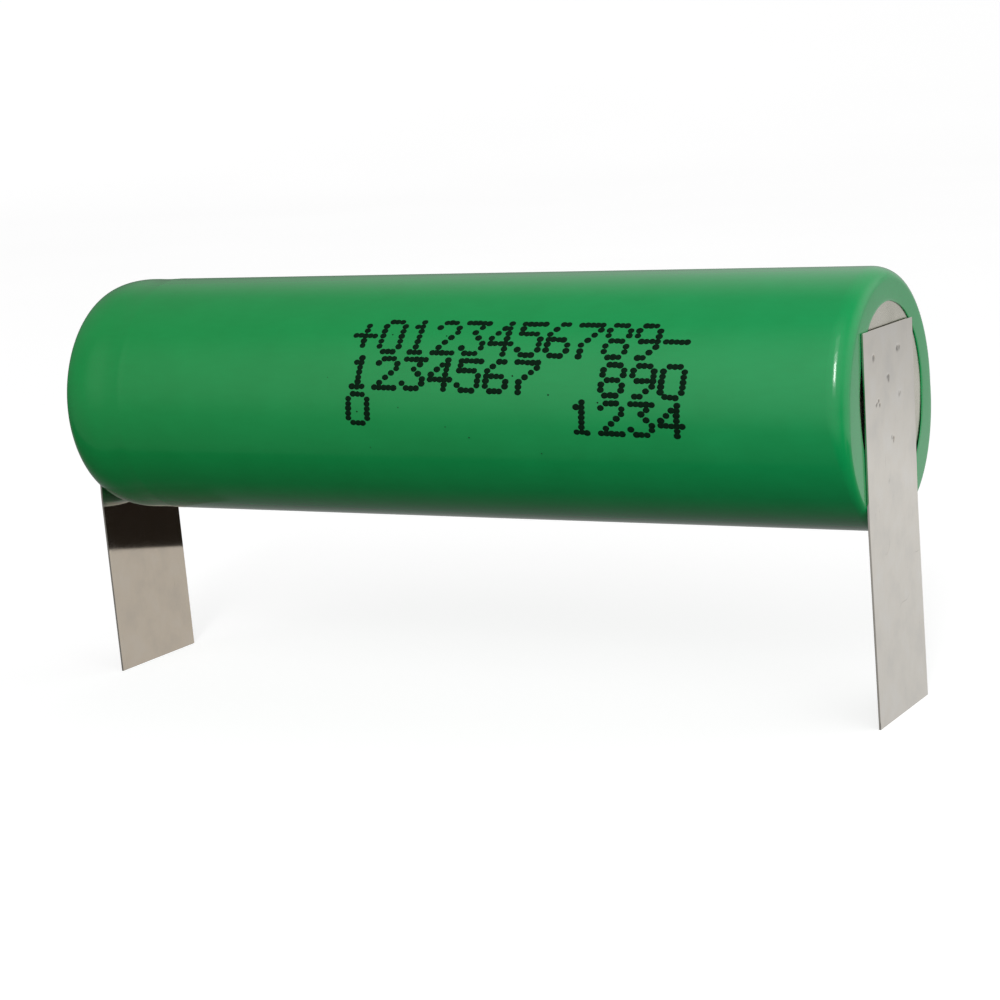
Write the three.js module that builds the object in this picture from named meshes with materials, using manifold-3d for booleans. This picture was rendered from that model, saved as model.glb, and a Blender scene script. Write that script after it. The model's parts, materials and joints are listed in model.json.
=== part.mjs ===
// A cylindrical lithium-ion cell of the 18 mm by 65 mm size in a heat-shrink sleeve, with a nickel
// solder tab welded across each end.
//
// The cell lies along X: its flat negative end faces +X and its vented positive end faces -X.
// Both tabs hang down past the cell, and z = 0 is the plane that their ends stand on.
// Pieces are placed by their station, the distance along the axis from the positive end, and by their
// height above or below the cell's axis.

import * as THREE from "three";
import { mergeVertices } from "three/addons/utils/BufferGeometryUtils.js";
import Module from "manifold-3d";

const wasm = await Module();
wasm.setup();

// ---- Driving dimensions, in millimetres ----

// The whole cell
const CELL_LENGTH = 64.9;
const CELL_RADIUS = 9.18;
const AXIS_HEIGHT = 22.1;
const GAP = 0.02; // between two pieces that touch

// Sleeve: each shoulder is a quarter ellipse, long along the axis and short across it
const SLEEVE_WALL = 0.1;
const POSITIVE_SHOULDER = { along: 2.8, across: 0.95 };
const NEGATIVE_SHOULDER = { along: 1.4, across: 0.95 };
const POSITIVE_LIP_RADIUS = 6.4;
const NEGATIVE_LIP_RADIUS = 6.6;

// Steel can: a deep-drawn cup, beaded inwards below its mouth, with the mouth crimped over
const CAN_WALL = 0.25;
const CAN_FLOOR = 0.3;
const BEAD_STATION = 4.3;
const BEAD_DEPTH = 1.05;
const BEAD_HALF_WIDTH = 1.15;
const CRIMP_MOUTH_RADIUS = 6.9;

// Positive end, from the outside in
const WASHER = { thickness: 0.2, innerRadius: 5.2, outerRadius: 7.9 };
const GASKET = { lip: 0.56, wall: 0.5, ledge: 0.56, lipRadius: 6.5, ledgeRadius: 5.68 };
const CAP = { plate: 0.7, buttonRadius: 4.6, riserWall: 0.6, flange: 0.7 };
const CAP_WINDOWS = 4;
const CAP_WINDOW = { width: 2.6, height: 0.42, reach: 1.6 };
const VENT = { thickness: 0.4, dimpleRadius: 1.2, shoulderRadius: 2.3 };
const INTERRUPT = { thickness: 0.4, ringRadius: 2.6, radius: 5.6 };
const INTERRUPT_HOLES = { count: 6, radius: 0.6, circle: 4.1 };
const COLLAR = { wall: 0.4, drop: 0.36 };

// Insulating discs
const TOP_INSULATOR = { thickness: 0.3, radius: 8.6, centreHole: 1.5 };
const TOP_INSULATOR_HOLES = { count: 6, radius: 0.9, circle: 5.4 }; // the first is the lead's slot
const BOTTOM_INSULATOR = { thickness: 0.3, radius: 8.35, centreHole: 1.5 };

// Electrode roll: two foils and two separators wound together round a hollow pin
const ROLL_TURNS = 5;
const ROLL_STEPS_PER_TURN = 24;
const ROLL_INNER_RADIUS = 1.55;
const SHEET_GAP = 0.03;
const SEPARATOR_THICKNESS = 0.08;
const ANODE_THICKNESS = 0.46;
const CATHODE_THICKNESS = 0.43;
const SEPARATOR_SPAN = [6.6, 63.6];
const ANODE_SPAN = [7.1, 63.1];
const CATHODE_SPAN = [7.6, 62.6];
const TAPE = { innerRadius: 8.6, thickness: 0.08, span: [9, 61] };
const PIN = { innerRadius: 1.05, outerRadius: 1.3, span: [8, 62], taper: 0.25 };

// Leads: thin strips from the roll to the two terminals
const LEAD_WIDTH = 4;
const LEAD_THICKNESS = 0.12;
const CATHODE_LEAD_HEIGHT = 4.7;
const ANODE_LEAD_HEIGHT = -8.05;
const LEAD_TAPE = { wall: 0.1, span: [3.7, 5.4] };
const CATHODE_LEAD_END = -2.5; // height of the end that is welded to the interrupt plate
const ANODE_LEAD_END = 1.8; // height of the end that is welded to the can's floor
const SLOT_MARGIN = 0.3; // round a lead, in the discs it passes

// Nickel solder tabs
const TAB_WIDTH = 10;
const TAB_THICKNESS = 0.15;
const TAB_TOP = 5.2; // height of the welded end above the axis
const FOLD_DROP = 0.42; // the fold line's distance below the sleeve
const FOLD_CLEARANCE = 0.2; // between the fold line and each half of the strip
const NEGATIVE_TAB = { offset: -0.7, lean: 0.28 }; // offset along Y, and how far the foot leans outwards
const POSITIVE_TAB = { offset: 0.1, lean: -0.55 };

const SIDES = 48; // facets round every turned piece
const SHOULDER_STEPS = 4;
const BEAD_STEPS = 6;
const HOLE_STEPS = 12;

// ---- Dimensions that follow from them ----

const NEGATIVE_END = CELL_LENGTH;
const CAN_INSET = SLEEVE_WALL + GAP;
const CAN_RADIUS = CELL_RADIUS - CAN_INSET;
const CAN_BORE = CAN_RADIUS - CAN_WALL;
const CAN_FLOOR_STATION = NEGATIVE_END - CAN_INSET - CAN_FLOOR; // inner face of the can's floor
const WASHER_STATION = SLEEVE_WALL + GAP;
const CRIMP_STATION = WASHER_STATION + WASHER.thickness + GAP;
const GASKET_STATION = CRIMP_STATION + CAN_WALL + GAP;
const FLANGE_STATION = GASKET_STATION + GASKET.lip + GAP;
const VENT_STATION = FLANGE_STATION + CAP.flange + GAP;
const LEDGE_STATION = VENT_STATION + VENT.thickness + GAP;
const RING_STATION = LEDGE_STATION;
const PLATE_STATION = RING_STATION + INTERRUPT.thickness + GAP;
const CATHODE_LEAD_STATION = PLATE_STATION + INTERRUPT.thickness + GAP;
const FLANGE_RADIUS = CAN_BORE - GAP - GASKET.wall - GAP;
const TOP_INSULATOR_STATION = BEAD_STATION + BEAD_HALF_WIDTH + CAN_WALL + GAP;
const ANODE_LEAD_STATION = CAN_FLOOR_STATION - GAP - LEAD_THICKNESS;
const BOTTOM_INSULATOR_STATION = ANODE_LEAD_STATION - GAP - BOTTOM_INSULATOR.thickness;
const ROLL_PITCH = 2 * SEPARATOR_THICKNESS + ANODE_THICKNESS + CATHODE_THICKNESS + 4 * SHEET_GAP;
const FOLD_HEIGHT = -(CELL_RADIUS + FOLD_DROP);

// ---- Outlines ----

// A quarter ellipse as [radius, station] points. It turns from the flat end, at turn 0, to the cell's
// side, at turn 1. direction is +1 on the positive end, where the side lies at higher stations.
function shoulder(radius, endStation, { along, across }, inset, direction, steps = SHOULDER_STEPS) {
  const points = [];
  for (let i = 0; i <= steps; i++) {
    const angle = ((i / steps) * Math.PI) / 2;
    points.push([
      radius - across + (across - inset) * Math.sin(angle),
      endStation + direction * (along - (along - inset) * Math.cos(angle)),
    ]);
  }
  return points;
}

// Half an ellipse that dips inwards from a cylinder: the can's bead.
function bead(radius, halfWidth) {
  const points = [];
  for (let i = 0; i <= BEAD_STEPS; i++) {
    const angle = (i / BEAD_STEPS) * Math.PI;
    points.push([
      radius - BEAD_DEPTH * Math.sin(angle),
      BEAD_STATION - halfWidth * Math.cos(angle),
    ]);
  }
  return points;
}

function circlePath(x, y, radius) {
  const path = new THREE.Path();
  for (let i = 0; i <= HOLE_STEPS; i++) {
    const angle = (i / HOLE_STEPS) * 2 * Math.PI;
    const point = [x + radius * Math.cos(angle), y + radius * Math.sin(angle)];
    if (i === 0) path.moveTo(...point);
    else path.lineTo(...point);
  }
  return path;
}

function ringOfHoles({ count, radius, circle }, firstAngle = 0) {
  return Array.from({ length: count }, (_, i) => {
    const angle = firstAngle + (i / count) * 2 * Math.PI;
    return circlePath(circle * Math.cos(angle), circle * Math.sin(angle), radius);
  });
}

function shapeOf(points, holes = []) {
  const shape = new THREE.Shape(points.map(([x, y]) => new THREE.Vector2(x, y)));
  shape.holes.push(...holes);
  return shape;
}

function discPoints(radius) {
  return Array.from({ length: SIDES }, (_, i) => {
    const angle = (i / SIDES) * 2 * Math.PI;
    return [radius * Math.cos(angle), radius * Math.sin(angle)];
  });
}

// The outline of a strip of the given thickness that follows a bent path, with mitred bends.
function stripOutline(path, thickness) {
  const points = path.map(([x, y]) => new THREE.Vector2(x, y));
  const directions = points.slice(1).map((point, i) => point.clone().sub(points[i]).normalize());
  const oneSide = [];
  const otherSide = [];
  points.forEach((point, i) => {
    const before = directions[Math.max(i - 1, 0)];
    const after = directions[Math.min(i, directions.length - 1)];
    const normal = new THREE.Vector2(-before.y - after.y, before.x + after.x).normalize();
    const reach = thickness / 2 / (normal.x * -after.y + normal.y * after.x);
    oneSide.push(point.clone().addScaledVector(normal, reach).toArray());
    otherSide.push(point.clone().addScaledVector(normal, -reach).toArray());
  });
  return [...oneSide, ...otherSide.reverse()];
}

// One sheet of the roll, seen along the axis: a spiral band.
function spiralOutline(innerRadius, thickness) {
  const inner = [];
  const outer = [];
  for (let i = 0; i <= ROLL_TURNS * ROLL_STEPS_PER_TURN; i++) {
    const turns = i / ROLL_STEPS_PER_TURN;
    const angle = turns * 2 * Math.PI;
    const radius = innerRadius + turns * ROLL_PITCH;
    inner.push([radius * Math.cos(angle), radius * Math.sin(angle)]);
    outer.push([(radius + thickness) * Math.cos(angle), (radius + thickness) * Math.sin(angle)]);
  }
  return [...outer, ...inner.reverse()];
}

// ---- Solids, in the cell's own frame: Y along the axis and Z up ----

// A turned piece. Its profile is [radius, station] points, either from axis to axis or a closed loop.
function turned(profile, closed) {
  const points = profile.map(([radius, station]) => new THREE.Vector2(radius, station));
  if (THREE.ShapeUtils.isClockWise(points)) points.reverse();
  if (closed) points.push(points[0].clone());
  return new THREE.LatheGeometry(points, SIDES);
}

// A flat outline (across, up) that runs along the axis from one station to another.
function alongAxis(shape, [from, to]) {
  const geometry = new THREE.ExtrudeGeometry(shape, { depth: to - from, bevelEnabled: false });
  return geometry.rotateX(Math.PI / 2).translate(0, to, 0);
}

// An outline (station, height) that runs across the cell, centred at the given offset.
function acrossCell(points, width, offset = 0) {
  const shape = shapeOf(points);
  const geometry = new THREE.ExtrudeGeometry(shape, { depth: width, bevelEnabled: false });
  const turn = new THREE.Matrix4().makeBasis(
    new THREE.Vector3(0, 1, 0),
    new THREE.Vector3(0, 0, 1),
    new THREE.Vector3(1, 0, 0),
  );
  return geometry.translate(0, 0, -width / 2 - offset).applyMatrix4(turn);
}

function solidOf(geometry) {
  const bare = geometry.clone();
  bare.deleteAttribute("normal");
  bare.deleteAttribute("uv");
  const merged = mergeVertices(bare);
  return new wasm.Manifold(
    new wasm.Mesh({
      numProp: 3,
      vertProperties: merged.attributes.position.array,
      triVerts: new Uint32Array(merged.index.array),
    }),
  );
}

function geometryOf(solid) {
  const mesh = solid.getMesh();
  const geometry = new THREE.BufferGeometry();
  geometry.setAttribute("position", new THREE.BufferAttribute(mesh.vertProperties, 3));
  geometry.setIndex(new THREE.BufferAttribute(mesh.triVerts, 1));
  geometry.computeVertexNormals();
  return geometry;
}

// ---- The assembly ----

const cell = new THREE.Group();
cell.rotation.z = -Math.PI / 2;
cell.position.set(-CELL_LENGTH / 2, 0, AXIS_HEIGHT);

function add(name, geometry, color, roughness, metalness = 0) {
  const material = new THREE.MeshStandardMaterial({ color, roughness, metalness });
  const mesh = new THREE.Mesh(geometry, material);
  mesh.name = name;
  cell.add(mesh);
}

const GREEN = 0x2f8a53;
const STEEL = 0xb9b7ae;
const NICKEL = 0xc4c0b6;
const ALUMINIUM = 0xcfd2d4;

// The sleeve is one skin from lip to lip, open at both ends.
function sleeveSkin(inset) {
  return [
    [POSITIVE_LIP_RADIUS, inset],
    ...shoulder(CELL_RADIUS, 0, POSITIVE_SHOULDER, inset, 1),
    ...shoulder(CELL_RADIUS, NEGATIVE_END, NEGATIVE_SHOULDER, inset, -1).reverse(),
    [NEGATIVE_LIP_RADIUS, NEGATIVE_END - inset],
  ];
}

function addSleeve() {
  const loop = [...sleeveSkin(0), ...sleeveSkin(SLEEVE_WALL).reverse()];
  add("heat_shrink_sleeve", turned(loop, true), GREEN, 0.3);
}

function addCan() {
  const wall = CAN_INSET + CAN_WALL;
  const crimpShoulder = shoulder(CELL_RADIUS, CRIMP_STATION - CAN_INSET, POSITIVE_SHOULDER, CAN_INSET, 1);
  const loop = [
    [CRIMP_MOUTH_RADIUS, CRIMP_STATION],
    ...crimpShoulder.slice(0, -1),
    ...bead(CAN_RADIUS, BEAD_HALF_WIDTH),
    ...shoulder(CELL_RADIUS, NEGATIVE_END, NEGATIVE_SHOULDER, CAN_INSET, -1).reverse(),
    [0, NEGATIVE_END - CAN_INSET],
    [0, CAN_FLOOR_STATION],
    ...shoulder(CELL_RADIUS, CAN_FLOOR_STATION + wall, NEGATIVE_SHOULDER, wall, -1, 2),
    ...bead(CAN_BORE, BEAD_HALF_WIDTH + CAN_WALL).reverse(),
    [CAN_BORE, CRIMP_STATION + POSITIVE_SHOULDER.across],
    [CELL_RADIUS - POSITIVE_SHOULDER.across, CRIMP_STATION + CAN_WALL],
    [CRIMP_MOUTH_RADIUS, CRIMP_STATION + CAN_WALL],
  ];
  add("steel_can", turned(loop, true), STEEL, 0.35, 1);
}

function flatRing(innerRadius, outerRadius, from, to) {
  return [
    [innerRadius, from],
    [outerRadius, from],
    [outerRadius, to],
    [innerRadius, to],
  ];
}

function addPositiveWasher() {
  const { innerRadius, outerRadius, thickness } = WASHER;
  const ring = flatRing(innerRadius, outerRadius, WASHER_STATION, WASHER_STATION + thickness);
  add("positive_washer", turned(ring, true), 0xe9e7df, 0.8);
}

// The gasket is a C in section: it grips the rims of the cap and the vent disc, and its collar holds
// the interrupt plate.
function addGasket() {
  const outerRadius = CAN_BORE - GAP;
  const chamfer = CELL_RADIUS - POSITIVE_SHOULDER.across;
  const ledgeBottom = LEDGE_STATION + GASKET.ledge;
  const collarRadius = GASKET.ledgeRadius + COLLAR.wall;
  const loop = [
    [GASKET.lipRadius, GASKET_STATION],
    [chamfer - GAP, GASKET_STATION],
    [outerRadius, CRIMP_STATION + POSITIVE_SHOULDER.across + GAP],
    [outerRadius, ledgeBottom],
    [collarRadius, ledgeBottom],
    [collarRadius, ledgeBottom + COLLAR.drop],
    [GASKET.ledgeRadius, ledgeBottom + COLLAR.drop],
    [GASKET.ledgeRadius, LEDGE_STATION],
    [outerRadius - GASKET.wall, LEDGE_STATION],
    [outerRadius - GASKET.wall, GASKET_STATION + GASKET.lip],
    [GASKET.lipRadius, GASKET_STATION + GASKET.lip],
  ];
  add("crimp_gasket", turned(loop, true), 0xdfe3e2, 0.5);
}

// The cap is a low hat with vent windows round its riser.
function addTopCap() {
  const innerRadius = CAP.buttonRadius - CAP.riserWall;
  const profile = [
    [0, 0],
    [CAP.buttonRadius - CAP.plate / 2, 0],
    [CAP.buttonRadius, CAP.plate / 2],
    [CAP.buttonRadius, FLANGE_STATION],
    [FLANGE_RADIUS, FLANGE_STATION],
    [FLANGE_RADIUS, FLANGE_STATION + CAP.flange],
    [innerRadius, FLANGE_STATION + CAP.flange],
    [innerRadius, CAP.plate],
    [0, CAP.plate],
  ];
  let hat = solidOf(turned(profile, false));
  for (let i = 0; i < CAP_WINDOWS; i++) {
    const window = new THREE.BoxGeometry(CAP_WINDOW.reach, CAP_WINDOW.height, CAP_WINDOW.width);
    window.translate(CAP.buttonRadius, CAP.plate + CAP_WINDOW.height / 2, 0);
    window.rotateY(((i + 0.5) / CAP_WINDOWS) * 2 * Math.PI);
    hat = hat.subtract(solidOf(window));
  }
  add("top_cap", geometryOf(hat), STEEL, 0.3, 1);
}

// The vent disc closes the cell. Its dimple reaches down through the ring to the interrupt plate.
function addVentDisc() {
  const dimple = INTERRUPT.thickness + GAP;
  const outside = [
    [0, VENT_STATION + dimple],
    [VENT.dimpleRadius, VENT_STATION + dimple],
    [VENT.shoulderRadius, VENT_STATION],
    [FLANGE_RADIUS, VENT_STATION],
  ];
  const inside = outside.map(([radius, station]) => [radius, station + VENT.thickness]).reverse();
  add("vent_disc", turned([...outside, ...inside], false), ALUMINIUM, 0.35, 1);
}

function addInterrupt() {
  const ring = flatRing(
    INTERRUPT.ringRadius,
    INTERRUPT.radius,
    RING_STATION,
    RING_STATION + INTERRUPT.thickness,
  );
  add("interrupt_ring", turned(ring, true), 0xe4dfc9, 0.55);
  const shape = shapeOf(discPoints(INTERRUPT.radius), ringOfHoles(INTERRUPT_HOLES));
  const span = [PLATE_STATION, PLATE_STATION + INTERRUPT.thickness];
  add("interrupt_plate", alongAxis(shape, span), ALUMINIUM, 0.4, 1);
}

// The cathode lead lies under the interrupt plate, then turns down towards the roll.
function addCathodeLead() {
  const middle = CATHODE_LEAD_STATION + LEAD_THICKNESS / 2;
  const path = [
    [middle, CATHODE_LEAD_END],
    [middle, CATHODE_LEAD_HEIGHT],
    [SEPARATOR_SPAN[0] - GAP, CATHODE_LEAD_HEIGHT],
  ];
  const lead = acrossCell(stripOutline(path, LEAD_THICKNESS), LEAD_WIDTH);
  add("cathode_lead", lead, ALUMINIUM, 0.35, 1);

  const opening = [LEAD_WIDTH / 2 + GAP, LEAD_THICKNESS / 2 + GAP];
  const corners = ([x, y]) => [
    [-x, CATHODE_LEAD_HEIGHT - y],
    [x, CATHODE_LEAD_HEIGHT - y],
    [x, CATHODE_LEAD_HEIGHT + y],
    [-x, CATHODE_LEAD_HEIGHT + y],
  ];
  const hole = shapeOf(corners(opening));
  const wrap = shapeOf(corners(opening.map((half) => half + LEAD_TAPE.wall)), [hole]);
  add("cathode_lead_tape", alongAxis(wrap, LEAD_TAPE.span), 0xc9892e, 0.45);
}

// The anode lead comes down beside the bottom disc and turns in under it, to the can's floor.
function addAnodeLead() {
  const middle = ANODE_LEAD_STATION + LEAD_THICKNESS / 2;
  const path = [
    [SEPARATOR_SPAN[1] + GAP, ANODE_LEAD_HEIGHT],
    [middle, ANODE_LEAD_HEIGHT],
    [middle, ANODE_LEAD_END],
  ];
  const lead = acrossCell(stripOutline(path, LEAD_THICKNESS), LEAD_WIDTH);
  add("anode_lead", lead, NICKEL, 0.35, 1);
}

// The top disc has a slot for the cathode lead and vent holes; the bottom disc has a flat for the anode
// lead to pass.
function addInsulators() {
  const slotSide = LEAD_WIDTH / 2 + SLOT_MARGIN;
  const slot = shapeOf([
    [-slotSide, CATHODE_LEAD_HEIGHT - SLOT_MARGIN],
    [slotSide, CATHODE_LEAD_HEIGHT - SLOT_MARGIN],
    [slotSide, CATHODE_LEAD_HEIGHT + SLOT_MARGIN],
    [-slotSide, CATHODE_LEAD_HEIGHT + SLOT_MARGIN],
  ]);
  const ventHoles = ringOfHoles(TOP_INSULATOR_HOLES, Math.PI / 2).slice(1);
  const centre = circlePath(0, 0, TOP_INSULATOR.centreHole);
  const top = shapeOf(discPoints(TOP_INSULATOR.radius), [centre, slot, ...ventHoles]);
  const topSpan = [TOP_INSULATOR_STATION, TOP_INSULATOR_STATION + TOP_INSULATOR.thickness];
  add("top_insulator", alongAxis(top, topSpan), 0xd8d4c6, 0.75);

  const flatHeight = ANODE_LEAD_HEIGHT + LEAD_THICKNESS / 2 + GAP;
  const rim = discPoints(BOTTOM_INSULATOR.radius).map(([x, y]) =>
    Math.abs(x) < slotSide ? [x, Math.max(y, flatHeight)] : [x, y],
  );
  const bottom = shapeOf(rim, [circlePath(0, 0, BOTTOM_INSULATOR.centreHole)]);
  const { thickness } = BOTTOM_INSULATOR;
  const bottomSpan = [BOTTOM_INSULATOR_STATION, BOTTOM_INSULATOR_STATION + thickness];
  add("bottom_insulator", alongAxis(bottom, bottomSpan), 0xd8d4c6, 0.75);
}

// Four sheets wound together, each starting outside the one before it.
function addRoll() {
  const sheets = [
    ["inner_separator", SEPARATOR_THICKNESS, SEPARATOR_SPAN, 0xf2f2ee, 0.7],
    ["anode_sheet", ANODE_THICKNESS, ANODE_SPAN, 0x2b2a2a, 0.8],
    ["outer_separator", SEPARATOR_THICKNESS, SEPARATOR_SPAN, 0xf2f2ee, 0.7],
    ["cathode_sheet", CATHODE_THICKNESS, CATHODE_SPAN, 0x3a3836, 0.7],
  ];
  let radius = ROLL_INNER_RADIUS;
  for (const [name, thickness, span, color, roughness] of sheets) {
    const outline = spiralOutline(radius, thickness);
    add(name, alongAxis(shapeOf(outline), span), color, roughness);
    radius += thickness + SHEET_GAP;
  }

  const tape = flatRing(TAPE.innerRadius, TAPE.innerRadius + TAPE.thickness, ...TAPE.span);
  add("roll_tape", turned(tape, true), 0x2f6fa8, 0.5);

  const pin = [
    [PIN.innerRadius, PIN.span[0]],
    [PIN.outerRadius, PIN.span[0] + PIN.taper],
    [PIN.outerRadius, PIN.span[1] - PIN.taper],
    [PIN.innerRadius, PIN.span[1]],
    [PIN.innerRadius - PIN.taper, PIN.span[1]],
    [PIN.innerRadius - PIN.taper, PIN.span[0]],
  ];
  add("centre_pin", turned(pin, true), STEEL, 0.4, 1);
}

// A tab is one nickel strip. Its pad is welded flat across the end, and its leg folds at the edge.
function addTab(name, endStation, outward, { offset, lean }) {
  const middle = endStation + outward * (GAP + TAB_THICKNESS / 2);
  const pad = [
    [middle, TAB_TOP],
    [middle, FOLD_HEIGHT + FOLD_CLEARANCE],
  ];
  const padOutline = stripOutline(pad, TAB_THICKNESS);
  add(`${name}_pad`, acrossCell(padOutline, TAB_WIDTH, offset), NICKEL, 0.35, 1);

  const half = TAB_THICKNESS / 2;
  const legTop = FOLD_HEIGHT - FOLD_CLEARANCE;
  const foot = middle + outward * lean;
  const leg = [
    [middle - half, legTop],
    [middle + half, legTop],
    [foot + half, -AXIS_HEIGHT],
    [foot - half, -AXIS_HEIGHT],
  ];
  add(`${name}_leg`, acrossCell(leg, TAB_WIDTH, offset), NICKEL, 0.35, 1);
}

addSleeve();
addCan();
addPositiveWasher();
addGasket();
addTopCap();
addVentDisc();
addInterrupt();
addCathodeLead();
addAnodeLead();
addInsulators();
addRoll();
addTab("negative_tab", NEGATIVE_END, 1, NEGATIVE_TAB);
addTab("positive_tab", 0, -1, POSITIVE_TAB);

const part = new THREE.Group();
part.add(cell);

export default part;
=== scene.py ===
"""Looks of a cylindrical battery cell with a solder tab at each end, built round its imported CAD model.

The frame is the CAD's: +X along the cell to its flat negative end, +Z up, with the tabs' ends on z = 0.
Lengths are in metres, so a size in millimetres is written as a number times MM.
"""
import json
import math
import random

import bmesh
import bpy
import numpy as np
from mathutils import Matrix, Vector


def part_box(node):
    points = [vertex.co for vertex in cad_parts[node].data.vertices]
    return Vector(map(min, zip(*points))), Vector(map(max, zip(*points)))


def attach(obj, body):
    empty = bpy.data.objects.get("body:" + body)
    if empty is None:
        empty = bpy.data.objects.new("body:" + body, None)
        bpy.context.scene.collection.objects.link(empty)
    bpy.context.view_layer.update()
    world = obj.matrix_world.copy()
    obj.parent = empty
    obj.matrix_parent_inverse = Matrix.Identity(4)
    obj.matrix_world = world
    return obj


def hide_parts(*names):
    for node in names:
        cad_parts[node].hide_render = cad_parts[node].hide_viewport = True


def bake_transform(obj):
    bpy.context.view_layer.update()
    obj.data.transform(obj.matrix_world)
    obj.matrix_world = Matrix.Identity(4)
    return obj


MM = 0.001
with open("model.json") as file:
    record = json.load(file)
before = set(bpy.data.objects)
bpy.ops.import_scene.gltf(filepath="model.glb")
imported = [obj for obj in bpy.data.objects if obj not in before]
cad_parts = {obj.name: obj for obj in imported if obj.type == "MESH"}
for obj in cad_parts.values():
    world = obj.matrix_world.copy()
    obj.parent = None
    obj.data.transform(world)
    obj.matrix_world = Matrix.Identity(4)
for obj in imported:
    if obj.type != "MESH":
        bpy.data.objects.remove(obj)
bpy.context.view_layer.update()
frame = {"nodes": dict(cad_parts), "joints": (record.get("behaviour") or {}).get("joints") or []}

# ---------------------------------------------------------------- sizes that the frame gives
sleeve_low, sleeve_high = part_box("heat_shrink_sleeve")
AXIS_Z = (sleeve_low.z + sleeve_high.z) / 2
RADIUS = sleeve_high.y
POSITIVE_LIP, NEGATIVE_LIP = sleeve_low.x, sleeve_high.x
HINGE_Z = frame["joints"][0]["pos_m"][2]

# ---------------------------------------------------------------- edges that are shaded as sharp
SHARP_CAD_EDGE = math.radians(25)
SHARP_EDGE = math.radians(40)


# ---------------------------------------------------------------- materials
class Shader:
    """A Principled material built node by node. Its fixed values are set on the shader's own sockets."""

    def __init__(self, name, **fixed):
        self.material = bpy.data.materials.new(name)
        self.material.use_nodes = True
        self.nodes = self.material.node_tree.nodes
        self.links = self.material.node_tree.links
        self.surface = self.nodes["Principled BSDF"]
        for socket, value in fixed.items():
            self.surface.inputs[socket.replace("_", " ")].default_value = value

    def node(self, kind, values=None, links=None, **settings):
        made = self.nodes.new("ShaderNode" + kind)
        for name, value in settings.items():
            setattr(made, name, value)
        for socket, value in (values or {}).items():
            made.inputs[socket].default_value = value
        for socket, output in (links or {}).items():
            self.links.new(output, made.inputs[socket])
        return made

    def place(self, stretch=(1, 1, 1), uv=False):
        """Coordinates on the piece: its own metres, or its UV map in millimetres."""
        source = self.node("TexCoord").outputs["UV" if uv else "Object"]
        return self.node("Mapping", {"Scale": stretch}, {"Vector": source}).outputs[0]

    def noise(self, where, scale, detail=3.0):
        """Smooth noise about 0.5. The scale is how many patches go to one unit of the coordinates."""
        return self.node("TexNoise", {"Scale": scale, "Detail": detail}, {"Vector": where}).outputs[0]

    def spread(self, value, low, high, start=0.3, end=0.7):
        """The value, carried from start..end to low..high."""
        limits = {"From Min": start, "From Max": end, "To Min": low, "To Max": high}
        return self.node("MapRange", limits, {"Value": value}).outputs[0]

    def ramp(self, value, *colours, start=0.3, end=0.7):
        made = self.node("ValToRGB", links={"Fac": value})
        stops = made.color_ramp.elements
        while len(stops) < len(colours):
            stops.new(0.5)
        for i, colour in enumerate(colours):
            stops[i].position = start + (end - start) * i / (len(colours) - 1)
            stops[i].color = (*colour, 1)
        return made.outputs[0]

    def tint(self, amount, colour, below):
        """The colour below, turned by the amount towards another, which is fixed or comes from a node."""
        made = self.node("Mix", data_type="RGBA")
        factor, first, second = (made.inputs[i] for i in (0, 6, 7))
        if isinstance(colour, tuple):
            second.default_value = (*colour, 1)
        else:
            self.links.new(colour, second)
        self.links.new(amount, factor)
        self.links.new(below, first)
        return made.outputs[2]

    def math(self, operation, first, second):
        made = self.node("Math", operation=operation)
        for socket, value in zip(made.inputs, (first, second)):
            if isinstance(value, (int, float)):
                socket.default_value = value
            else:
                self.links.new(value, socket)
        return made.outputs[0]

    def bump(self, height, depth):
        made = self.node("Bump", {"Distance": depth}, {"Height": height})
        self.links.new(made.outputs[0], self.surface.inputs["Normal"])

    def feed(self, socket, output):
        self.links.new(output, self.surface.inputs[socket])


def mottled(name, dark, light, cell, rough, depth, stretch=(1, 1, 1), **fixed):
    """A surface whose colour, gloss and height vary in patches of about the cell's size, in metres."""
    made = Shader(name, **fixed)
    where = made.place(stretch)
    patches = made.noise(where, 1 / cell)
    grain = made.noise(where, 9 / cell, 4.0)
    mixed = made.math("ADD", made.math("MULTIPLY", patches, 0.6), made.math("MULTIPLY", grain, 0.4))
    made.feed("Base Color", made.ramp(mixed, dark, light, start=0.38, end=0.62))
    made.feed("Roughness", made.spread(mixed, rough[0], rough[1], 0.38, 0.62))
    made.bump(grain, depth)
    return made.material


def sleeve_material():
    """Glossy green shrink film: faint cloudiness, finer streaks along it and a very fine orange peel. Its
    green is painted darker at the positive end and lighter at the negative end, as painted shade and light
    for how the light falls along the cell.
    """
    made = Shader("green_shrink_film", IOR=1.5)
    where = made.place()
    drawn = made.place((0.25, 1, 1))
    clouds = made.noise(where, 260, 4.0)
    streaks = made.noise(drawn, 2400, 3.0)
    peel = made.noise(where, 2600, 2.0)
    mixed = made.math("ADD", made.math("MULTIPLY", clouds, 0.7), made.math("MULTIPLY", streaks, 0.3))
    # Painted light and shade: the green runs from darker at the positive lip to lighter at the negative lip,
    # standing in for how the light falls along the cell.
    painted_shade_green = made.ramp(mixed, (0.0038, 0.262, 0.054), (0.0044, 0.276, 0.058), (0.0050, 0.290, 0.062))
    painted_light_green = made.ramp(mixed, (0.0038, 0.296, 0.076), (0.0044, 0.312, 0.082), (0.0050, 0.328, 0.088))
    along = made.node("SeparateXYZ", links={"Vector": where}).outputs["X"]
    made.feed("Base Color", made.tint(made.spread(along, 0.0, 1.0, POSITIVE_LIP, NEGATIVE_LIP), painted_light_green, painted_shade_green))
    made.feed("Roughness", made.spread(mixed, 0.10, 0.14))
    made.bump(peel, 0.0012 * MM)
    return made.material


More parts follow.
